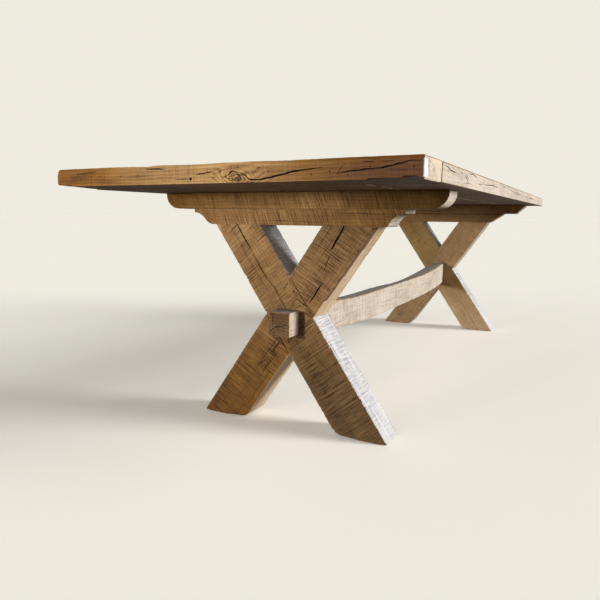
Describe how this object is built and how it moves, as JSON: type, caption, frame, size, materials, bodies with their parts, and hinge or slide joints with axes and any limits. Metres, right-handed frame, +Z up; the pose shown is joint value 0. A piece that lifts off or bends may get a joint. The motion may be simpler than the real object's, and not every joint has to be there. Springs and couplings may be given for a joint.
{
  "type": "sawbuck table",
  "caption": "Long rectangular plank dining table on crossed-leg trestles tied by a bowed stretcher tenoned through the crossings.",
  "frame": {"origin": "on the floor under the centre of the table", "axes": "+X along the table's length towards the far trestle, +Y across its width, +Z up"},
  "size_m": [2.7, 1, 0.76],
  "materials": {
    "top_oak": "aged oiled oak with cracks, knots and worn arrises",
    "frame_oak": "band-sawn aged oak, waxed",
    "joint_oak": "dry oak",
    "screw_steel": "blackened steel"
  },
  "bodies": {
    "root": {"top_plank_1": "top_oak", "top_plank_2": "top_oak", "top_plank_3": "top_oak", "top_plank_4": "top_oak", "top_plank_5": "top_oak", "top_plank_6": "top_oak", "top_splines": "joint_oak", "end_board_near": "top_oak", "end_board_pins_near": "joint_oak", "bearer_near": "frame_oak", "head_beam_near": "frame_oak", "top_screws_near": "screw_steel", "coach_screws_near": "screw_steel", "leg_near_outer": "frame_oak", "leg_near_inner": "frame_oak", "end_board_far": "top_oak", "end_board_pins_far": "joint_oak", "bearer_far": "frame_oak", "head_beam_far": "frame_oak", "top_screws_far": "screw_steel", "coach_screws_far": "screw_steel", "leg_far_outer": "frame_oak", "leg_far_inner": "frame_oak", "stretcher": "frame_oak"}
  },
  "joints": []
}
